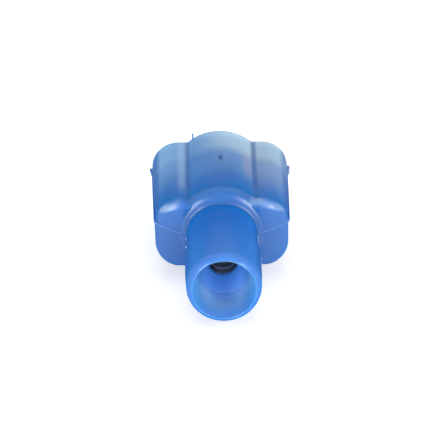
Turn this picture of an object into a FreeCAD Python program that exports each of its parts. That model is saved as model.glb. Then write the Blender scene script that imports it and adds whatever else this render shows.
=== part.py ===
import FreeCAD, Part
import os

import Sketcher

# Male tab terminal with a fully insulating hood, for 1.5 to 2.5 mm2 wire.
# Lengths are in millimetres. Inside each body the terminal's axis is +Y,
# with the wire mouth at Y = 0, and +Z is up. Each body's Placement then
# puts the centre of the bottom of the whole part at the origin.

V = FreeCAD.Vector
doc = FreeCAD.newDocument("MaleTabTerminal")
sheet = doc.addObject("Spreadsheet::Sheet", "dims")
sheet.Label = "dims"


# Named sizes

SIZES = [
    ("total_length", 21.4, "wire mouth to hood rim"),
    ("mouth_radius", 2.92, "outside of the funnel behind its lip"),
    ("flare_radius", 2.97, "widest radius of the wire funnel"),
    ("flare_start", 2.7, "mouth to the start of the widest band"),
    ("flare_end", 4.1, "mouth to the end of the widest band"),
    ("knee_radius", 2.94, "outside radius where the funnel starts to close"),
    ("knee_place", 6.1, "mouth to that place"),
    ("sleeve_radius", 2.8, "outside of the crimp sleeve"),
    ("sleeve_start", 7.5, "mouth to the start of the plain sleeve"),
    ("lip_depth", 0.8, "mouth to the end of the lip's outer rounding"),
    ("lip_face_radius", 2.5, "outside of the lip's flat face"),
    ("lip_bore_radius", 2.42, "bore at the mouth's inner edge"),
    ("lip_bore_round", 0.07, "rounding of that edge"),
    ("bell_depth", 2.2, "depth of the mouth's bell"),
    ("wire_bore_radius", 2.08, "bore that takes the wire's insulation"),
    ("wire_bore_end", 3.6, "mouth to the end of that bore"),
    ("throat_radius", 1.15, "smallest bore, in front of the metal barrel"),
    ("throat_start", 4.9, "mouth to the throat"),
    ("barrel_start", 5.15, "mouth to the metal barrel"),
    ("collar_proud", 0.14, "how far the dome's collar stands behind the lobes"),
    ("collar_fillet", 0.22, "fillet between the sleeve and the collar"),
    ("dome_rear_radius", 3.82, "dome radius at the shoulder"),
    ("dome_rim_radius", 3.86, "dome radius at the rim"),
    ("rest_height", 3.8, "axis to the narrow flat along the dome's underside"),
    ("shoulder_start", 9.8, "mouth to the side lobes' rear face"),
    ("shoulder_flat", 3.1, "half width of the square part of that face"),
    ("shoulder_sweep", 3.9, "plan radius that turns that face forwards outside it"),
    ("shoulder_round", 0.6, "rounding around the side lobes' rear face"),
    ("hood_rear_half_width", 5.25, "half width of the hood at the shoulder"),
    ("hood_rim_half_width", 5.48, "half width of the hood at the rim"),
    ("lobe_rear_height", 2.8, "axis to the side lobes' top, shoulder"),
    ("lobe_rim_height", 2.86, "axis to the side lobes' top, rim"),
    ("lobe_depth", 2.87, "axis to the side lobes' underside"),
    ("lobe_corner", 2.1, "upper corner radius of the side lobes"),
    ("lobe_low_corner", 1.85, "lower corner radius of the side lobes"),
    ("hood_wall", 0.66, "wall of the hood"),
    ("rim_round", 0.16, "rounding of the rim's edges"),
    ("cavity_start", 11.0, "mouth to the hood's inner end wall"),
    ("flash_thick", 0.22, "thickness of the parting ridge"),
    ("flash_proud", 0.13, "how far the side ridge stands out at the shoulder"),
    ("flash_rear_proud", 0.08, "how far the rear ridge stands out"),
    ("side_ridge_front", 21.15, "mouth to the side ridge's front end"),
    ("side_ridge_back", 10.7, "mouth to the side ridge's back end"),
    ("flash_rim_z", 0.4, "height of the ridge at the rim"),
    ("flash_rear_z", 0.79, "height of the ridge at the rear corner"),
    ("flash_inner_x", 3.2, "rear ridge, inner end, across"),
    ("rear_ridge_inner", 9.8, "rear ridge, inner end, along"),
    ("flash_inner_z", 0.19, "rear ridge, inner end, height"),
    ("flash_middle_x", 4.1, "rear ridge, middle, across"),
    ("rear_ridge_middle", 9.93, "rear ridge, middle, along"),
    ("flash_middle_z", 0.43, "rear ridge, middle, height"),
    ("flash_outer_x", 4.95, "rear ridge, outer point, across"),
    ("rear_ridge_outer", 10.28, "rear ridge, outer point, along"),
    ("flash_outer_z", 0.67, "rear ridge, outer point, height"),
    ("flash_corner_x", 5.28, "rear ridge, corner, across"),
    ("rear_ridge_corner", 10.55, "rear ridge, corner, along"),
    ("lug_reach", 5.69, "half width over the flash lugs at the rim"),
    ("lug_length", 1.5, "length of the flash lugs along the axis"),
    ("gate_radius", 0.14, "half width of the pit left by the gate"),
    ("gate_length", 0.85, "length of that pit"),
    ("gate_depth", 0.08, "depth of that pit"),
    ("gate_position", 16.05, "mouth to the gate pit"),
    ("metal_bore_radius", 1.15, "bore of the metal crimp barrel"),
    ("strip_thick", 0.4, "thickness of the metal strip"),
    ("barrel_length", 5.95, "length of the metal crimp barrel"),
    ("barrel_play", 0.02, "gap around the metal barrel in the sleeve"),
    ("serration_depth", 0.1, "depth of the grooves in the metal barrel"),
    ("serration_width", 0.36, "width of those grooves"),
    ("serration_pitch", 1.1, "spacing of those grooves"),
    ("serration_first", 1.0, "barrel mouth to the first groove's middle"),
    ("seam_gap", 0.07, "gap at the barrel's butt seam"),
    ("blade_start", 12.7, "mouth to the blade's root"),
    ("neck_side", 0.35, "height of the neck's upright sides at the barrel"),
    ("neck_width", 5.0, "width of the strip where the blade begins"),
    ("blade_width", 6.35, "width of the blade"),
    ("blade_thick", 0.8, "thickness of the blade"),
    ("blade_length", 7.7, "length of the blade"),
    ("blade_root_corner", 0.5, "bevel at the blade's root corners"),
    ("blade_nose_side", 1.0, "bevel at the blade's tip, across"),
    ("blade_nose_length", 1.1, "bevel at the blade's tip, along"),
    ("blade_nose_thick", 0.22, "bevel at the blade's tip, through"),
    ("fold_gap", 0.08, "gap where the folded blade's edges meet"),
]

sheet.set("A1", "name")
sheet.set("B1", "size, mm")
sheet.set("C1", "meaning")
for row, (name, value, meaning) in enumerate(SIZES, start=2):
    sheet.set("A%d" % row, name)
    sheet.set("B%d" % row, str(value))
    sheet.set("C%d" % row, meaning)
    sheet.setAlias("B%d" % row, name)
doc.recompute()

SIZE = {name: value for name, value, _ in SIZES}
START, END, CENTRE = range(1, 4)
ROOT = -START


# Helpers for sketches

def now(text):
    """The present value of a sum of products of named sizes and numbers."""
    total = 0.0
    for term in text.replace("- ", "+ -1 * ").split("+ "):
        product = 1.0
        for factor in term.split("*"):
            word = factor.strip()
            if word:
                product *= SIZE[word] if word in SIZE else float(word)
        if term.strip():
            total += product
    return total


def tied(text):
    """The same sum, written with each name tied to the table of sizes."""
    words = []
    for word in text.split(" "):
        words.append("dims." + word if word in SIZE else word)
    return " ".join(words)


def plane_of(body, role):
    """One of a body's own base planes."""
    for feature in body.Origin.OriginFeatures:
        if feature.Role == role:
            return feature
    raise ValueError(role)


def new_sketch(body, label, role, offset=None):
    """A sketch on a base plane, moved along that plane's normal."""
    sketch = body.newObject("Sketcher::SketchObject", label)
    sketch.Label = label
    sketch.AttachmentSupport = [(plane_of(body, role), "")]
    sketch.MapMode = "FlatFace"
    if offset:
        sketch.setExpression("AttachmentOffset.Base.z", tied(offset))
    return sketch


def pin(sketch, index, end, across, up):
    """Holds one point of the sketch at two named distances from its origin."""
    for kind, text in (("DistanceX", across), ("DistanceY", up)):
        value = now(text)
        number = sketch.addConstraint(
            Sketcher.Constraint(kind, ROOT, START, index, end, value)
        )
        sketch.setExpression("Constraints[%d]" % number, tied(text))


def arc_between(first, last, high):
    """The arc between two points whose centre lies at this height."""
    gap = last.x ** 2 + last.y ** 2 - first.x ** 2 - first.y ** 2
    across = (gap - 2 * high * (last.y - first.y)) / (2 * (last.x - first.x))
    centre = V(across, high, 0)
    way = (first + last) * 0.5 - centre
    top = centre + way * ((first - centre).Length / way.Length)
    return Part.Arc(first, top, last)


def outline(sketch, corners, arcs={}):
    """A closed outline through named corners, counterclockwise with arcs.

    Its sides are straight, apart from those numbered in arcs, where the
    height of the centre of the turn is given.
    """
    places = [V(now(across), now(up), 0) for across, up in corners]
    count = len(corners)
    lines = []
    for i in range(count):
        first = places[i]
        last = places[(i + 1) % count]
        side = Part.LineSegment(first, last)
        if i in arcs:
            side = arc_between(first, last, now(arcs[i]))
        lines.append(sketch.addGeometry(side, False))
    for i in range(count):
        after = lines[(i + 1) % count]
        sketch.addConstraint(
            Sketcher.Constraint("Coincident", lines[i], END, after, START)
        )
    for line, (across, up) in zip(lines, corners):
        pin(sketch, line, START, across, up)
    for i, up in arcs.items():
        number = sketch.addConstraint(
            Sketcher.Constraint("DistanceY", ROOT, START, i, CENTRE, now(up))
        )
        sketch.setExpression("Constraints[%d]" % number, tied(up))
    return sketch


def rectangle(sketch, left, right, low, high):
    """A closed rectangle between four named distances."""
    return outline(
        sketch, [(left, low), (right, low), (right, high), (left, high)]
    )


# Helpers for features

def turned(body, kind, label, sketch):
    """A revolution or groove about the sketch's upright axis."""
    feature = body.newObject(kind, label)
    feature.Profile = sketch
    feature.ReferenceAxis = (sketch, ["V_Axis"])
    feature.Angle = 360
    finish(body, feature, label)
    return feature


def lofted(body, kind, label, first, others):
    """A straight-sided loft from one section through the others."""
    feature = body.newObject(kind, label)
    feature.Profile = first
    feature.Sections = others
    feature.Ruled = True
    finish(body, feature, label)
    return feature


def padded(body, label, sketch, thickness, kind="PartDesign::Pad"):
    """A pad or pocket of this thickness, half to each side of the sketch."""
    feature = body.newObject(kind, label)
    feature.Profile = sketch
    feature.Type = "Length"
    feature.Midplane = True
    feature.setExpression("Length", tied(thickness))
    finish(body, feature, label)
    return feature


def rounded(body, label, radius, wanted, kind="PartDesign::Fillet"):
    """A fillet or chamfer on the edges of the tip that the test picks."""
    base = body.Tip
    names = []
    for i, edge in enumerate(base.Shape.Edges, start=1):
        if wanted(edge):
            names.append("Edge%d" % i)
    if not names:
        raise ValueError("no edges found for " + label)
    feature = body.newObject(kind, label)
    feature.Base = (base, names)
    name = "Radius" if kind.endswith("Fillet") else "Size"
    feature.setExpression(name, tied(radius))
    finish(body, feature, label)
    return feature


def finish(body, feature, label):
    """Labels a feature, makes it the tip, and stops on a bad result."""
    feature.Label = label
    body.Tip = feature
    doc.recompute()
    bad = [word for word in feature.State if word in ("Invalid", "Error")]
    if bad or feature.Shape.isNull() or not feature.Shape.isValid():
        raise ValueError("bad result: " + label)


def middle(edge):
    """The point half way along an edge."""
    return edge.valueAt(0.5 * (edge.FirstParameter + edge.LastParameter))


def ring_at(edge, radius, place, slack=0.03):
    """True for an edge around the axis at this radius and place."""
    if not hasattr(edge.Curve, "Radius"):
        return False
    point = middle(edge)
    reach = (point.x ** 2 + point.z ** 2) ** 0.5
    return abs(reach - radius) < slack and abs(point.y - place) < slack


def runs_along(edge):
    """True for a straight edge that runs mainly along the axis."""
    first = edge.Vertexes[0].Point
    last = edge.Vertexes[-1].Point
    step = last - first
    return abs(step.y) > 3 and abs(step.y) > 3 * abs(step.x) + 3 * abs(step.z)


# Housing: the two side lobes as one drafted block. In plan its rear face is
# square in the middle and turns forwards along an arc towards each side.

housing = doc.addObject("PartDesign::Body", "insulating_housing")
housing.Label = "insulating_housing"

plan = new_sketch(housing, "lobes_plan", "XY_Plane")
half = now("hood_rear_half_width")
flat = now("shoulder_flat")
back = now("shoulder_start")
sweep = now("shoulder_sweep")
front = now("total_length")
rim_half = now("hood_rim_half_width")


def on_sweep(across):
    """A point on the arc of the rear face, this far from the axis."""
    run = abs(across) - flat
    rise = sweep - (sweep ** 2 - run ** 2) ** 0.5
    return V(across, back + rise, 0)


between = flat + 0.5 * (half - flat)
edges = [
    Part.LineSegment(V(-flat, back, 0), V(flat, back, 0)),
    Part.Arc(on_sweep(flat), on_sweep(between), on_sweep(half)),
    Part.LineSegment(on_sweep(half), V(rim_half, front, 0)),
    Part.LineSegment(V(rim_half, front, 0), V(-rim_half, front, 0)),
    Part.LineSegment(V(-rim_half, front, 0), on_sweep(-half)),
    Part.Arc(on_sweep(-half), on_sweep(-between), on_sweep(-flat)),
]
for edge in edges:
    plan.addGeometry(edge, False)
for i in range(6):
    join = Sketcher.Constraint("Coincident", i, END, (i + 1) % 6, START)
    plan.addConstraint(join)
pin(plan, 0, START, "-1 * shoulder_flat", "shoulder_start")
pin(plan, 0, END, "shoulder_flat", "shoulder_start")
pin(plan, 1, CENTRE, "shoulder_flat", "shoulder_start + shoulder_sweep")
pin(plan, 5, CENTRE, "-1 * shoulder_flat", "shoulder_start + shoulder_sweep")
pin(plan, 3, START, "hood_rim_half_width", "total_length")
pin(plan, 3, END, "-1 * hood_rim_half_width", "total_length")
for index, end, text in (
    (1, END, "hood_rear_half_width"),
    (5, START, "-1 * hood_rear_half_width"),
):
    number = plan.addConstraint(
        Sketcher.Constraint("DistanceX", ROOT, START, index, end, now(text))
    )
    plan.setExpression("Constraints[%d]" % number, tied(text))

padded(housing, "lobes", plan, "2 * lobe_depth")

draft = new_sketch(housing, "lobes_draft", "YZ_Plane")
outline(draft, [
    ("shoulder_start - 0.5", "lobe_rear_height"),
    ("shoulder_start", "lobe_rear_height"),
    ("total_length", "lobe_rim_height"),
    ("total_length", "lobe_depth + 0.5"),
    ("shoulder_start - 0.5", "lobe_depth + 0.5"),
])
cut = housing.newObject("PartDesign::Pocket", "lobes_drafted")
cut.Profile = draft
cut.Type = "ThroughAll"
cut.Midplane = True
finish(housing, cut, "lobes_drafted")
rounded(
    housing, "lobe_corners", "lobe_corner",
    lambda e: runs_along(e) and middle(e).z > 0,
)
rounded(
    housing, "lobe_low_corners", "lobe_low_corner",
    lambda e: runs_along(e) and middle(e).z < -0.9 * now("lobe_depth"),
)


def on_shoulder(edge):
    """True for an edge around the lobes' rear face."""
    point = middle(edge)
    if point.y > now("shoulder_start") + 1.2 or runs_along(edge):
        return False
    flat = abs(point.z) < 0.01 and edge.BoundBox.ZLength > 1 and abs(point.x) < 4
    return not flat


rounded(housing, "shoulder_edges", "shoulder_round", on_shoulder)


# Housing: wire funnel, crimp sleeve, collar and dome turned in one

turn = new_sketch(housing, "sleeve_and_dome_profile", "XY_Plane")
collar_start = "shoulder_start - collar_proud"
dome_end = collar_start + " + dome_rear_radius - sleeve_radius"
outline(turn, [
    ("0", "0"),
    ("lip_face_radius", "0"),
    ("mouth_radius", "lip_depth"),
    ("flare_radius", "flare_start"),
    ("flare_radius", "flare_end"),
    ("knee_radius", "knee_place"),
    ("sleeve_radius", "sleeve_start"),
    ("sleeve_radius", collar_start),
    ("dome_rear_radius", dome_end),
    ("dome_rim_radius", "total_length"),
    ("0", "total_length"),
], {1: "lip_depth", 7: dome_end})
turned(housing, "PartDesign::Revolution", "sleeve_and_dome", turn)
rounded(
    housing, "collar_root", "collar_fillet",
    lambda e: ring_at(e, now("sleeve_radius"), now(collar_start)),
)


# Housing: hollow of the hood

hollow_plan = new_sketch(housing, "hollow_plan", "XY_Plane")
outline(hollow_plan, [
    ("-1 * hood_rear_half_width + hood_wall", "cavity_start"),
    ("hood_rear_half_width - hood_wall", "cavity_start"),
    ("hood_rim_half_width - hood_wall", "total_length"),
    ("hood_rim_half_width - hood_wall", "total_length + 1"),
    ("-1 * hood_rim_half_width + hood_wall", "total_length + 1"),
    ("-1 * hood_rim_half_width + hood_wall", "total_length"),
])
padded(
    housing, "hollow", hollow_plan, "2 * lobe_rim_height - 2 * hood_wall",
    "PartDesign::Pocket",
)


def hollow_corner(edge):
    """True for the four long corners of the hollow."""
    first = edge.Vertexes[0].Point
    last = edge.Vertexes[-1].Point
    end = first if first.y < last.y else last
    across = now("hood_rear_half_width - hood_wall")
    high = now("lobe_rim_height - hood_wall")
    here = abs(abs(end.x) - across) < 0.05 and abs(abs(end.z) - high) < 0.05
    return runs_along(edge) and here and abs(end.y - now("cavity_start")) < 0.05


rounded(housing, "hollow_corners", "lobe_corner - hood_wall", hollow_corner)

dome_cut = new_sketch(housing, "dome_hollow_profile", "XY_Plane")
outline(dome_cut, [
    ("0", "cavity_start"),
    ("dome_rear_radius - hood_wall", "cavity_start"),
    ("dome_rim_radius - hood_wall", "total_length"),
    ("0", "total_length"),
])
turned(housing, "PartDesign::Groove", "dome_hollow", dome_cut)


# Housing: wire mouth, funnel, throat and seat of the metal barrel

bore = new_sketch(housing, "bore_profile", "XY_Plane")
outline(bore, [
    ("0", "0"),
    ("lip_bore_radius", "0"),
    ("lip_bore_radius", "0.2"),
    ("wire_bore_radius", "bell_depth"),
    ("wire_bore_radius", "wire_bore_end"),
    ("throat_radius", "throat_start"),
    ("throat_radius", "barrel_start"),
    ("metal_bore_radius + strip_thick + barrel_play", "barrel_start"),
    ("metal_bore_radius + strip_thick + barrel_play", "cavity_start"),
    ("0", "cavity_start"),
])
turned(housing, "PartDesign::Groove", "bore", bore)
rounded(
    housing, "mouth_bore_edge", "lip_bore_round",
    lambda e: ring_at(e, now("lip_bore_radius"), 0),
)


def on_rim(edge):
    """True for the edges in the plane of the hood's rim."""
    flat = edge.BoundBox.YLength < 0.05
    return flat and abs(middle(edge).y - now("total_length")) < 0.02


rounded(housing, "rim_edges", "rim_round", on_rim)


# Housing: flash along the mould's parting line, on both sides of the hood

def side_ridge(word, side, proud):
    """The thin ridge from the rim to the rear corner of one side."""
    ends = []
    for name, half, place, high, share in (
        ("rim", "hood_rim_half_width", "side_ridge_front", "flash_rim_z", "0.5"),
        ("rear", "hood_rear_half_width", "side_ridge_back", "flash_rear_z", "1"),
    ):
        label = "side_ridge_%s_%s" % (word, name)
        sketch = new_sketch(housing, label, "XZ_Plane", "-1 * " + place)
        rectangle(
            sketch,
            "%d * %s - %d * 0.4" % (side, half, side),
            "%d * %s + %d * %s * %s" % (side, half, side, share, proud),
            high + " - 0.5 * flash_thick",
            high + " + 0.5 * flash_thick",
        )
        ends.append(sketch)
    label = "side_ridge_" + word
    lofted(housing, "PartDesign::AdditiveLoft", label, ends[0], [ends[1]])


def rear_ridge(word, side, proud):
    """The same ridge carried on over the lobe's rear face to the sleeve."""
    sections = []
    for name, across, place, high in (
        ("inner", "flash_inner_x", "rear_ridge_inner", "flash_inner_z"),
        ("middle", "flash_middle_x", "rear_ridge_middle", "flash_middle_z"),
        ("outer", "flash_outer_x", "rear_ridge_outer", "flash_outer_z"),
        ("corner", "flash_corner_x", "rear_ridge_corner", "flash_rear_z"),
    ):
        label = "rear_ridge_%s_%s" % (word, name)
        offset = "%d * %s" % (side, across)
        sketch = new_sketch(housing, label, "YZ_Plane", offset)
        rectangle(
            sketch,
            "%s - %s" % (place, proud),
            "%s + 0.3" % place,
            high + " - 0.5 * flash_thick",
            high + " + 0.5 * flash_thick",
        )
        sections.append(sketch)
    label = "rear_ridge_" + word
    lofted(
        housing, "PartDesign::AdditiveLoft", label, sections[0], sections[1:]
    )


side_ridge("left", -1, "flash_proud")
side_ridge("right", 1, "flash_proud")
rear_ridge("left", -1, "flash_rear_proud")
rear_ridge("right", 1, "flash_rear_proud")


# Housing: the flash lugs beside the rim, a thin one and a thick one

def lug(word, side, thickness, square):
    """A lug of flash that tapers back from the rim along one side."""
    label = "lug_" + word
    sketch = new_sketch(housing, label + "_plan", "XY_Plane", "flash_rim_z")
    root = "%d * hood_rim_half_width - %d * 0.3" % (side, side)
    tip = "%d * lug_reach" % side
    outline(sketch, [
        (root, "total_length"),
        (tip, "total_length"),
        (tip, "total_length - " + square),
        ("%d * hood_rim_half_width" % side, "total_length - lug_length"),
        (root, "total_length - lug_length"),
    ])
    padded(housing, label, sketch, thickness)


lug("left", -1, "flash_thick", "0.1")
lug("right", 1, "2 * flash_thick", "0.4")


# Housing: flash along the sleeve's sides, most of it on the right

sleeve_flash = new_sketch(housing, "sleeve_flash_plan", "XY_Plane")
for left, right, low, high in (
    ("0.9 * sleeve_radius", "sleeve_radius + 0.06", "7.4", "9.5"),
    ("0.9 * sleeve_radius", "flare_radius + 0.03", "5.3", "5.6"),
    ("0.9 * sleeve_radius", "flare_radius + 0.05", "4.6", "4.8"),
    ("-1 * sleeve_radius - 0.07", "-0.9 * sleeve_radius", "9.0", "9.3"),
    ("-1 * sleeve_radius - 0.1", "-0.9 * sleeve_radius", "7.55", "7.8"),
):
    rectangle(sleeve_flash, left, right, low, high)
padded(housing, "sleeve_flash", sleeve_flash, "0.5 * flash_thick")


# Housing: a whisker of flash on the rim, and the gate's pit on the dome

whisker = new_sketch(
    housing, "whisker_outline", "XZ_Plane", "-1 * total_length + 0.25"
)
rectangle(
    whisker, "-0.58 * dome_rim_radius", "-0.55 * dome_rim_radius",
    "0.75 * dome_rim_radius", "0.95 * dome_rim_radius",
)
padded(housing, "whisker", whisker, "0.15")

gate = new_sketch(housing, "gate_outline", "XY_Plane", "dome_rim_radius")
outline(gate, [
    ("-1 * gate_radius", "gate_position - 0.5 * gate_length"),
    ("gate_radius", "gate_position - 0.5 * gate_length"),
    ("gate_radius", "gate_position + 0.5 * gate_length"),
    ("-1 * gate_radius", "gate_position + 0.5 * gate_length"),
], {
    0: "gate_position - 0.5 * gate_length + 0.5 * gate_radius",
    2: "gate_position + 0.5 * gate_length - 0.5 * gate_radius",
})
pit = housing.newObject("PartDesign::Pocket", "gate_pit")
pit.Profile = gate
pit.Type = "Length"
pit.setExpression("Length", tied("gate_depth + 0.07"))
finish(housing, pit, "gate_pit")


# Housing: the narrow flat along the dome's underside, on which it rests

rest = new_sketch(housing, "rest_flat_outline", "YZ_Plane")
rectangle(
    rest, "shoulder_start", "total_length + 1",
    "-1 * dome_rim_radius - 0.5", "-1 * rest_height",
)
planed = housing.newObject("PartDesign::Pocket", "rest_flat")
planed.Profile = rest
planed.Type = "ThroughAll"
planed.Midplane = True
finish(housing, planed, "rest_flat")


# Terminal: the rolled crimp barrel with its grooves

terminal = doc.addObject("PartDesign::Body", "male_tab_terminal")
terminal.Label = "male_tab_terminal"

tube = new_sketch(terminal, "barrel_profile", "XY_Plane")
outline(tube, [
    ("metal_bore_radius", "barrel_start"),
    ("metal_bore_radius + strip_thick", "barrel_start"),
    ("metal_bore_radius + strip_thick", "barrel_start + barrel_length"),
    ("metal_bore_radius", "barrel_start + barrel_length"),
])
turned(terminal, "PartDesign::Revolution", "barrel", tube)
rounded(
    terminal, "barrel_mouth", "0.25 * strip_thick",
    lambda e: ring_at(e, now("metal_bore_radius"), now("barrel_start")),
    "PartDesign::Chamfer",
)

grooves = new_sketch(terminal, "serration_profile", "XY_Plane")
for i in range(3):
    mid = "barrel_start + serration_first + %d * serration_pitch" % i
    rectangle(
        grooves, "0.9 * metal_bore_radius", "metal_bore_radius + serration_depth",
        mid + " - 0.5 * serration_width", mid + " + 0.5 * serration_width",
    )
turned(terminal, "PartDesign::Groove", "serrations", grooves)

seam = new_sketch(terminal, "seam_plan", "XY_Plane", "0.5 * metal_bore_radius")
rectangle(
    seam, "-0.5 * seam_gap", "0.5 * seam_gap",
    "barrel_start - 0.5", "barrel_start + barrel_length + 0.5",
)
slit = terminal.newObject("PartDesign::Pocket", "seam")
slit.Profile = seam
slit.Type = "ThroughAll"
slit.Midplane = False
slit.Reversed = True
finish(terminal, slit, "seam")


# Terminal: the neck opens from half the barrel into the flat blade

root = new_sketch(
    terminal, "neck_rear", "XZ_Plane", "-1 * barrel_start - 1 * barrel_length"
)
outer = now("metal_bore_radius + strip_thick")
side_low = now("neck_side")
side_x = (outer ** 2 - side_low ** 2) ** 0.5
corners = [V(-outer, 0, 0), V(-side_x, -side_low, 0)]
corners += [V(side_x, -side_low, 0), V(outer, 0, 0)]
for item in (
    Part.LineSegment(corners[0], corners[1]),
    Part.Arc(corners[1], V(0, -outer, 0), corners[2]),
    Part.LineSegment(corners[2], corners[3]),
    Part.LineSegment(corners[3], corners[0]),
):
    root.addGeometry(item, False)
for i in range(4):
    join = Sketcher.Constraint("Coincident", i, END, (i + 1) % 4, START)
    root.addConstraint(join)
pin(root, 0, START, "-1 * metal_bore_radius - 1 * strip_thick", "0")
pin(root, 3, START, "metal_bore_radius + strip_thick", "0")
pin(root, 1, CENTRE, "0", "0")
for end in (START, END):
    number = root.addConstraint(
        Sketcher.Constraint("DistanceY", ROOT, START, 1, end, -side_low)
    )
    root.setExpression("Constraints[%d]" % number, tied("-1 * neck_side"))
number = root.addConstraint(Sketcher.Constraint("Radius", 1, outer))
root.setExpression(
    "Constraints[%d]" % number, tied("metal_bore_radius + strip_thick")
)

flat_end = new_sketch(terminal, "neck_front", "XZ_Plane", "-1 * blade_start")
outline(flat_end, [
    ("-0.5 * neck_width", "0.5 * blade_thick"),
    ("-0.5 * neck_width", "-0.5 * blade_thick"),
    ("0.5 * neck_width", "-0.5 * blade_thick"),
    ("0.5 * neck_width", "0.5 * blade_thick"),
])
lofted(terminal, "PartDesign::AdditiveLoft", "neck", root, [flat_end])

trough = new_sketch(terminal, "trough_profile", "XY_Plane")
outline(trough, [
    ("0", "barrel_start + barrel_length - 0.2"),
    ("metal_bore_radius", "barrel_start + barrel_length - 0.2"),
    ("metal_bore_radius", "barrel_start + barrel_length"),
    ("0", "blade_start - 0.1"),
])
turned(terminal, "PartDesign::Groove", "trough", trough)


# Terminal: the blade, folded double from the strip

blade = new_sketch(terminal, "blade_plan", "XY_Plane")
wide = "0.5 * blade_width"
outline(blade, [
    ("-0.5 * neck_width", "blade_start"),
    ("0.5 * neck_width", "blade_start"),
    (wide, "blade_start + blade_root_corner"),
    (wide, "blade_start + blade_length - 1 * blade_nose_length"),
    (wide + " - blade_nose_side", "blade_start + blade_length"),
    ("-" + wide + " + blade_nose_side", "blade_start + blade_length"),
    ("-" + wide, "blade_start + blade_length - 1 * blade_nose_length"),
    ("-" + wide, "blade_start + blade_root_corner"),
])
padded(terminal, "blade", blade, "blade_thick")


def blade_nose(edge):
    """True for the edges across the blade's tip."""
    point = middle(edge)
    tip = now("blade_start + blade_length")
    return abs(point.y - tip) < 0.01 and abs(point.x) < 0.01


rounded(
    terminal, "blade_nose", "blade_nose_thick", blade_nose,
    "PartDesign::Chamfer",
)

fold = new_sketch(terminal, "fold_plan", "XY_Plane", "-0.5 * blade_thick")
rectangle(
    fold, "-0.5 * fold_gap", "0.5 * fold_gap",
    "blade_start + 0.4", "blade_start + blade_length + 0.5",
)
groove = terminal.newObject("PartDesign::Pocket", "fold_seam")
groove.Profile = fold
groove.Type = "Length"
groove.Reversed = True
groove.setExpression("Length", tied("0.5 * blade_thick - 0.05"))
finish(terminal, groove, "fold_seam")


# Placement and output

for body in (housing, terminal):
    body.setExpression("Placement.Base.y", tied("-0.5 * total_length"))
    body.setExpression("Placement.Base.z", tied("rest_height"))
doc.recompute()

for item in doc.Objects:
    if "Invalid" in item.State or "Error" in item.State:
        raise ValueError("bad state: " + item.Label)

os.makedirs("parts", exist_ok=True)
for body in (housing, terminal):
    shape = body.Shape
    if shape.isNull() or not shape.isValid() or len(shape.Solids) != 1:
        raise ValueError("bad shape: " + body.Label)
    shape.exportStep("parts/%s.step" % body.Label)
    print(body.Label, round(shape.Volume, 2), "mm3")
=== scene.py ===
import math
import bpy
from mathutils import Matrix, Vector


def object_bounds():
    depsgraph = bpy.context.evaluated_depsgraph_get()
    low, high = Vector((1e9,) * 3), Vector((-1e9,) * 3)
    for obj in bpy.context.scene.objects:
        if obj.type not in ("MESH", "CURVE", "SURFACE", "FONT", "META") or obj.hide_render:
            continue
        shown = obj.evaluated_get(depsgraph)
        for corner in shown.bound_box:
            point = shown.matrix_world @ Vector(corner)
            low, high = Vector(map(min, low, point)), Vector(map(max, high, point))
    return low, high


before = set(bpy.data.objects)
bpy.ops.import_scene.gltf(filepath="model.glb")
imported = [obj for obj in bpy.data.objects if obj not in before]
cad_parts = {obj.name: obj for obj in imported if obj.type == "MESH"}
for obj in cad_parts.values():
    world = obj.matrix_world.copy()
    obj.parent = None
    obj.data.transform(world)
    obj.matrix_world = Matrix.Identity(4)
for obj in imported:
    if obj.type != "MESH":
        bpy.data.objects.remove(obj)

from types import SimpleNamespace

import bpy
from mathutils import Matrix, Quaternion, Vector

cad_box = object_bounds()
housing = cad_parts["insulating_housing"]
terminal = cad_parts["male_tab_terminal"]

MM = 0.001

# Places on the part, in mm: across it, in depth from the wire mouth, high above the axis

PART_LENGTH = (cad_box[1][1] - cad_box[0][1]) / MM
MOUTH = cad_box[0][1] / MM
AXIS_HEIGHT = 3.8
FUNNEL_END = 5.2
FUNNEL_RADIUS = 2.4
SLEEVE_HALF = 2.95
SLEEVE_NARROWING = 0.16
SLEEVE_END = 9.5
SHOULDER = 10.6
DOME_FOOT = 3.0
BROW_HIGH = 2.72
BROW_SLOPE = -0.4
RIDGE_START = 2.5
RIDGE_SLOPE = 0.286
VALLEY_LEFT = -2.66
VALLEY_RIGHT = 2.7
GATE_DEPTH = 16.05
WHISKER_ACROSS = -2.18


# Node helpers

def node(tree, kind, **settings):
    made = tree.nodes.new(kind)
    for key, value in settings.items():
        setattr(made, key, value)
    return made


def set_inputs(shader, values):
    for name, value in values.items():
        shader.inputs[name].default_value = value


def material(name):
    made = bpy.data.materials.new(name)
    made.use_nodes = True
    tree = made.node_tree
    tree.nodes.clear()
    out = node(tree, "ShaderNodeOutputMaterial")
    shader = node(tree, "ShaderNodeBsdfPrincipled")
    tree.links.new(shader.outputs["BSDF"], out.inputs["Surface"])
    return made, tree, shader


def dress(thing, finish):
    thing.data.materials.clear()
    thing.data.materials.append(finish)


def ramp(tree, source, stops, blend="EASE"):
    made = node(tree, "ShaderNodeValToRGB")
    made.color_ramp.interpolation = blend
    points = made.color_ramp.elements
    while len(points) < len(stops):
        points.new(0.5)
    for point, (place, colour) in zip(points, stops):
        point.position = place
        point.color = (*colour, 1.0)
    tree.links.new(source, made.inputs["Fac"])
    return made.outputs["Color"]


def noise(tree, scale, detail=3.0):
    place = node(tree, "ShaderNodeTexCoord")
    made = node(tree, "ShaderNodeTexNoise")
    set_inputs(made, {"Scale": scale, "Detail": detail})
    tree.links.new(place.outputs["Object"], made.inputs["Vector"])
    return made.outputs["Fac"]


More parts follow.
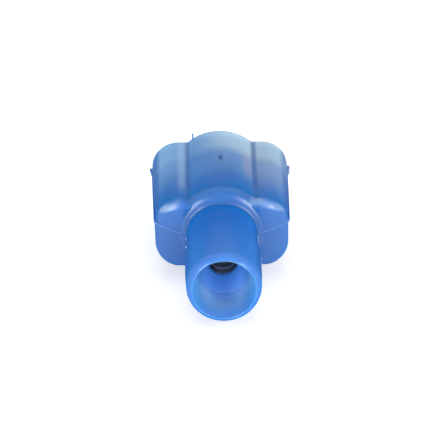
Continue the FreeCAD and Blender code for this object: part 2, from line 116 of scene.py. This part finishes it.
def fill_slot(tree, slot, value):
    """Set a slot to a number or colour, or link another node's output to it."""
    if isinstance(value, (int, float)):
        slot.default_value = value
    elif isinstance(value, tuple):
        slot.default_value = (*value, 1.0)
    else:
        tree.links.new(value, slot)


def mixed(tree, factor, a, b, mode="MIX"):
    made = node(tree, "ShaderNodeMix", data_type="RGBA", blend_type=mode)
    for name, value in (("Factor", factor), ("A", a), ("B", b)):
        slots = [slot for slot in made.inputs if slot.name == name and slot.enabled]
        fill_slot(tree, slots[0], value)
    return [slot for slot in made.outputs if slot.name == "Result" and slot.enabled][0]


def maths(tree, kind, *values):
    """One step of arithmetic on numbers and sockets."""
    made = node(tree, "ShaderNodeMath", operation=kind)
    for slot, value in zip(made.inputs, values):
        fill_slot(tree, slot, value)
    return made.outputs["Value"]


def fade(tree, value, full, none, curve="SMOOTHSTEP"):
    """1 where the value is at full, sinking to 0 at none."""
    made = node(tree, "ShaderNodeMapRange", interpolation_type=curve)
    set_inputs(made, {"From Min": none, "From Max": full})
    tree.links.new(value, made.inputs["Value"])
    return made.outputs["Result"]


def band(tree, value, middle, full, none):
    """1 within full of the middle, sinking to 0 at none from it."""
    away = maths(tree, "ABSOLUTE", maths(tree, "SUBTRACT", value, middle))
    return fade(tree, away, full, none)


def product(tree, first, *others):
    for other in others:
        first = maths(tree, "MULTIPLY", first, other)
    return first


def tinted(tree, base, colour, share, *masks):
    """The base with a share of another colour where all the masks meet."""
    return mixed(tree, product(tree, *masks, share), base, colour)


def looked_at(tree):
    """1 where the camera, a shiny surface or a clear one looks, otherwise 0."""
    path = node(tree, "ShaderNodeLightPath")
    seen = maths(tree, "MAXIMUM", path.outputs["Is Camera Ray"], path.outputs["Is Glossy Ray"])
    return maths(tree, "MAXIMUM", seen, path.outputs["Is Transmission Ray"])


def places_of(tree):
    """The place on the part: across, depth, high, and how far from the middle and axis."""
    place = node(tree, "ShaderNodeTexCoord")
    split = node(tree, "ShaderNodeSeparateXYZ")
    tree.links.new(place.outputs["Object"], split.inputs["Vector"])
    across = maths(tree, "MULTIPLY", split.outputs["X"], 1 / MM)
    depth = maths(tree, "MULTIPLY_ADD", split.outputs["Y"], 1 / MM, -MOUTH)
    high = maths(tree, "MULTIPLY_ADD", split.outputs["Z"], 1 / MM, -AXIS_HEIGHT)
    squares = maths(tree, "ADD", maths(tree, "MULTIPLY", across, across),
                    maths(tree, "MULTIPLY", high, high))
    return SimpleNamespace(across=across, depth=depth, high=high,
                           side=maths(tree, "ABSOLUTE", across),
                           radius=maths(tree, "SQRT", squares))


def above_line(tree, side, high, start, slope):
    """How high a place is above a line that climbs by the slope from start outwards."""
    climb = maths(tree, "MULTIPLY_ADD", side, -slope, slope * start)
    return maths(tree, "ADD", climb, high)


# Blue nylon, from the mouth to the rim: deep blue, paler where the hood's wall is thin, with
# painted shade by the shoulder and a painted highlight at the rim's edge

def nylon_lengthwise(tree, at):
    return ramp(tree, fade(tree, at.depth, PART_LENGTH, 0.0, "LINEAR"), [
        (0.0, (0.034, 0.185, 0.53)),
        (0.08, (0.032, 0.16, 0.53)),
        (0.30, (0.021, 0.127, 0.50)),
        # The stops at 0.43 and 0.47 paint shade on the shoulder's crescent
        (0.43, (0.012, 0.132, 0.48)),
        (0.47, (0.010, 0.125, 0.39)),
        (0.53, (0.024, 0.140, 0.45)),
        (0.60, (0.044, 0.152, 0.445)),
        (0.80, (0.14, 0.265, 0.51)),
        (0.87, (0.30, 0.45, 0.61)),
        (0.93, (0.33, 0.50, 0.66)),
        # The palest end paints the light caught by the rim's rounded edge
        (1.0, (0.48, 0.69, 0.84)),
    ], "LINEAR")


def hood_tints_and_flank_shade(tree, base, at):
    # Greyer on the right half
    base = tinted(tree, base, (0.34, 0.38, 0.46), 0.26,
                  fade(tree, at.across, 4.0, 0.5), fade(tree, at.depth, 16.0, 10.0))
    # Clearer blue on the left lobe
    base = tinted(tree, base, (0.12, 0.31, 0.61), 0.72,
                  fade(tree, at.across, -3.0, -2.3), fade(tree, at.depth, 20.0, 13.5))
    # Painted shade darkens both flanks
    base = tinted(tree, base, (0.03, 0.10, 0.34), 0.8,
                  fade(tree, at.side, 5.25, 4.7), fade(tree, at.depth, 9.9, 9.7))
    # Plain blue on the lobes' rear faces
    base = tinted(tree, base, (0.030, 0.165, 0.50), 0.7,
                  fade(tree, at.side, 3.1, 2.8), fade(tree, at.depth, SHOULDER, SHOULDER + 0.6))
    # Deeper blue on the left of the dome, towards the rim
    base = tinted(tree, base, (0.012, 0.145, 0.48), 0.6,
                  fade(tree, at.across, -2.4, 1.0), fade(tree, at.side, 2.5, 2.9),
                  fade(tree, at.depth, 19.0, 12.5))
    # A little paler and greyer on the right lobe
    return tinted(tree, base, (0.30, 0.44, 0.56), 0.2,
                  fade(tree, at.across, DOME_FOOT, 2.3), fade(tree, at.depth, 20.0, 15.0))


def sleeve_side_shade(tree, base, at):
    # Painted shade darkens the sleeve's sides, most at the right one, but not on the lip
    for edge, share in ((at.side, 0.5), (at.across, 0.35)):
        base = tinted(tree, base, (0.018, 0.055, 0.22), share,
                      fade(tree, edge, SLEEVE_HALF, 2.3),
                      fade(tree, at.depth, SLEEVE_END - 0.5, SLEEVE_END),
                      fade(tree, at.depth, 1.4, 0.6))
    return base


def shoulder_painted_highlight(tree, base, at):
    # Painted highlight along the upper edge of both rear faces, which falls away outwards
    beside_dome = maths(tree, "MAXIMUM", at.side, DOME_FOOT)
    rise = above_line(tree, beside_dome, at.high, DOME_FOOT, BROW_SLOPE)
    brow_highlight = product(tree, band(tree, rise, BROW_HIGH, 0.08, 0.36),
                   fade(tree, at.depth, SHOULDER - 0.25, SHOULDER + 0.2))
    for full, none, share in ((-3.9, -3.1, 0.58), (2.4, 2.1, 0.36)):
        base = tinted(tree, base, (0.36, 0.50, 0.66), share,
                      brow_highlight, fade(tree, at.across, full, none))
    return base


def valley_shade_sheen_and_gate(tree, base, at):
    on_top = fade(tree, at.high, 2.2, 1.6)
    # Painted reflections: a soft pinkish streak beside the right valley, and a pale sheen beyond
    # the left
    base = tinted(tree, base, (0.50, 0.36, 0.38), 0.16,
                  band(tree, at.across, 2.12, 0.05, 0.50),
                  band(tree, at.depth, 16.4, 1.0, 3.6), on_top)
    base = tinted(tree, base, (0.40, 0.60, 0.78), 0.28,
                  band(tree, at.across, -3.1, 0.1, 0.5),
                  fade(tree, at.depth, 14.0, 11.0), on_top)
    # Painted shade darkens the two valleys
    for valley, share in ((VALLEY_LEFT, 0.36), (VALLEY_RIGHT, 0.6)):
        base = tinted(tree, base, (0.03, 0.11, 0.36), share,
                      band(tree, at.across, valley, 0.06, 0.34),
                      fade(tree, at.high, 2.5, 2.2), fade(tree, at.depth, 13.5, 10.8))
    # Darker round the gate's pit
    return tinted(tree, base, (0.06, 0.15, 0.33), 0.3,
                  band(tree, at.across, 0.0, 0.05, 0.26),
                  band(tree, at.depth, GATE_DEPTH, 0.25, 0.6), fade(tree, at.high, 3.6, 3.4))


def funnel_painted_light(tree, base, at, inside):
    # Painted light brightens the inside of the wire funnel, and painted shade deepens the blue at
    # its two sides
    painted_bell_light = ramp(tree, fade(tree, at.depth, FUNNEL_END, 0.0, "LINEAR"), [
        (0.0, (0.10, 0.27, 0.60)),
        (0.15, (0.115, 0.30, 0.62)),
        (0.32, (0.17, 0.36, 0.62)),
        (0.62, (0.32, 0.60, 0.88)),
        (0.79, (0.18, 0.45, 0.92)),
        (1.0, (0.12, 0.41, 0.95)),
    ])
    painted_bell_light = tinted(tree, painted_bell_light, (0.04, 0.23, 0.56), 0.65, fade(tree, at.side, 2.0, 1.2))
    return mixed(tree, inside, base, painted_bell_light)


def moulding_marks_and_painted_light(tree, base, at):
    # Thin whitish flash beside the sleeve, broken up, beyond the sleeve's narrowing side; its
    # whiteness also paints the glints along it
    narrowing = maths(tree, "MULTIPLY", fade(tree, at.depth, 7.5, 5.9, "LINEAR"),
                      SLEEVE_NARROWING)
    beyond = maths(tree, "ADD", at.side, narrowing)
    base = tinted(tree, base, (0.88, 0.92, 0.98), fade(tree, noise(tree, 2600.0, 1.0), 0.52, 0.42),
                  fade(tree, beyond, SLEEVE_HALF + 0.06, SLEEVE_HALF + 0.035),
                  band(tree, at.high, 0.0, 0.07, 0.09),
                  fade(tree, at.depth, SLEEVE_END - 0.05, SLEEVE_END + 0.05))
    # The parting ridge on the rear faces: a painted highlight on it, painted shade under it
    ridge = above_line(tree, at.side, at.high, RIDGE_START, RIDGE_SLOPE)
    on_rear = fade(tree, at.depth, SHOULDER, SHOULDER + 0.3)
    base = tinted(tree, base, (0.20, 0.40, 0.80), 0.25, band(tree, ridge, 0.04, 0.05, 0.1),
                  fade(tree, at.side, 3.2, 3.1), on_rear)
    base = tinted(tree, base, (0.03, 0.12, 0.40), 0.35, band(tree, ridge, -0.14, 0.03, 0.09),
                  fade(tree, at.side, 3.3, 3.1), on_rear)
    # A thin darker line just inside the rim, and the dark whisker of flash on it
    rim = PART_LENGTH
    base = tinted(tree, base, (0.08, 0.17, 0.30), 0.55,
                  fade(tree, at.depth, rim - 0.12, rim - 0.24),
                  fade(tree, at.depth, rim - 0.07, rim - 0.02))
    return tinted(tree, base, (0.04, 0.12, 0.34), 0.9,
                  band(tree, at.across, WHISKER_ACROSS, 0.1, 0.14),
                  fade(tree, at.high, 3.28, 3.2))


def blue_nylon():
    """Translucent nylon, shiny where it faces the eye and duller inside the funnel."""
    nylon, tree, skin = material("blue_nylon")
    at = places_of(tree)
    inside = product(tree, fade(tree, at.radius, FUNNEL_RADIUS, FUNNEL_RADIUS + 0.1),
                     fade(tree, at.depth, FUNNEL_END + 0.1, FUNNEL_END + 0.4))
    base = nylon_lengthwise(tree, at)
    for tints in (hood_tints_and_flank_shade, sleeve_side_shade, shoulder_painted_highlight, valley_shade_sheen_and_gate):
        base = tints(tree, base, at)
    base = funnel_painted_light(tree, base, at, inside)
    base = moulding_marks_and_painted_light(tree, base, at)
    unevenness = ramp(tree, noise(tree, 260.0), [(0.3, (0.93, 0.94, 0.96)), (0.7, (1.0, 1.0, 1.0))])
    tree.links.new(mixed(tree, 1.0, base, unevenness, "MULTIPLY"), skin.inputs["Base Color"])

    facing = node(tree, "ShaderNodeLayerWeight")
    set_inputs(facing, {"Blend": 0.5})
    gloss = product(tree, fade(tree, facing.outputs["Facing"], 0.25, 0.62), 0.72,
                    maths(tree, "MULTIPLY_ADD", inside, -0.65, 1.0))
    tree.links.new(gloss, skin.inputs["Specular IOR Level"])

    bump = node(tree, "ShaderNodeBump")
    set_inputs(bump, {"Strength": 0.06, "Distance": 0.02 * MM})
    tree.links.new(noise(tree, 9000.0, 2.0), bump.inputs["Height"])
    tree.links.new(bump.outputs["Normal"], skin.inputs["Normal"])

    set_inputs(skin, {
        "Roughness": 0.27,
        "IOR": 1.45,
        "Subsurface Weight": 0.85,
        "Subsurface Radius": (0.35, 0.65, 1.0),
        "Subsurface Scale": 1.3 * MM,
    })
    return nylon


# Tinned brass: dull bright metal, a little uneven

def tinned_brass():
    tin, tree, skin = material("tinned_brass")
    shade = ramp(tree, noise(tree, 1800.0, 4.0),
                 [(0.3, (0.34, 0.39, 0.48)), (0.7, (0.48, 0.53, 0.62))])
    tree.links.new(shade, skin.inputs["Base Color"])
    set_inputs(skin, {"Metallic": 1.0, "Roughness": 0.32})
    return tin


dress(housing, blue_nylon())
dress(terminal, tinned_brass())


# Floor: white where it is looked at, with the shadow kept

FLOOR_GLOW = 0.45


def floor_paper():
    paper, tree, skin = material("floor_paper")
    set_inputs(skin, {
        "Base Color": (0.86, 0.86, 0.86, 1),
        "Roughness": 0.9,
        "Specular IOR Level": 0.0,
        "Emission Color": (1, 1, 1, 1),
    })
    glow = maths(tree, "MULTIPLY", looked_at(tree), FLOOR_GLOW)
    tree.links.new(glow, skin.inputs["Emission Strength"])
    return paper


bpy.ops.mesh.primitive_plane_add(size=3.0, location=(0, 0, 0))
floor = bpy.context.object
floor.name = "floor"
dress(floor, floor_paper())


# World: even soft light, white where it is looked at

WORLD_LIGHT = 0.42

world = bpy.data.worlds.new("studio")
bpy.context.scene.world = world
world.use_nodes = True
tree = world.node_tree
tree.nodes.clear()
out = node(tree, "ShaderNodeOutputWorld")
soft = node(tree, "ShaderNodeBackground")
set_inputs(soft, {"Color": (1, 1, 1, 1)})
strength = maths(tree, "MULTIPLY_ADD", looked_at(tree), 1 - WORLD_LIGHT, WORLD_LIGHT)
tree.links.new(strength, soft.inputs["Strength"])
tree.links.new(soft.outputs["Background"], out.inputs["Surface"])


# Soft boxes, in metres and watts, all aimed at the middle of the part

MIDDLE = Vector((0, 0, AXIS_HEIGHT * MM))


def soft_box(name, place, size, power, upright=(0, 0, 1)):
    light = bpy.data.lights.new(name, "AREA")
    light.shape = "RECTANGLE"
    light.size, light.size_y = size
    light.energy = power
    lamp = bpy.data.objects.new(name, light)
    bpy.context.scene.collection.objects.link(lamp)
    lamp.location = place
    back = (Vector(place) - MIDDLE).normalized()
    right = Vector(upright).cross(back).normalized()
    top = back.cross(right)
    lamp.rotation_euler = Matrix((right, top, back)).transposed().to_euler()
    return lamp


soft_box("front_left", (-0.268, -0.287, 0.135), size=(0.20, 0.24), power=0.95)
soft_box("front_right", (0.275, -0.280, 0.145), size=(0.18, 0.26), power=1.15)

# These two only fill, because the photographed gloss shows no lamp in front or above
fills = (
    soft_box("front_low", (0, -0.42, 0.055), size=(0.24, 0.09), power=0.45),
    soft_box("top", (0, 0.15, 0.42), size=(0.30, 0.30), power=0.5, upright=(0, 1, 0)),
)
for fill in fills:
    fill.visible_glossy = False


# Camera at the photograph's angle, REACH mm away, with the part's middle at CENTRE_X, CENTRE_Y

PIXELS = 443
PICTURE_MIDDLE = (PIXELS - 1) / 2
PX_PER_MM = 12.648
CENTRE_X = 221.306
CENTRE_Y = 229.352
REACH = 300.0
SENSOR = 36.0
ELEVATION = math.radians(25.489)
AZIMUTH = math.radians(-0.805)
ROLL = math.radians(-0.355)

back = Vector((math.sin(AZIMUTH) * math.cos(ELEVATION),
               -math.cos(AZIMUTH) * math.cos(ELEVATION),
               math.sin(ELEVATION)))
right = Vector((math.cos(AZIMUTH), math.sin(AZIMUTH), 0))
up = back.cross(right)
eye = MIDDLE + back * REACH * MM
eye -= right * (CENTRE_X - PICTURE_MIDDLE) / PX_PER_MM * MM
eye += up * (CENTRE_Y - PICTURE_MIDDLE) / PX_PER_MM * MM

lens = bpy.data.cameras.new("camera")
lens.sensor_width = SENSOR
lens.lens = SENSOR * PX_PER_MM * REACH / PIXELS
lens.clip_start = 0.01
lens.clip_end = 50.0
camera = bpy.data.objects.new("camera", lens)
bpy.context.scene.collection.objects.link(camera)
camera.location = eye
camera.rotation_mode = "QUATERNION"
camera.rotation_quaternion = Quaternion(back, ROLL) @ (-back).to_track_quat("-Z", "Y")
bpy.context.scene.camera = camera

bpy.context.scene.view_settings.view_transform = "Standard"
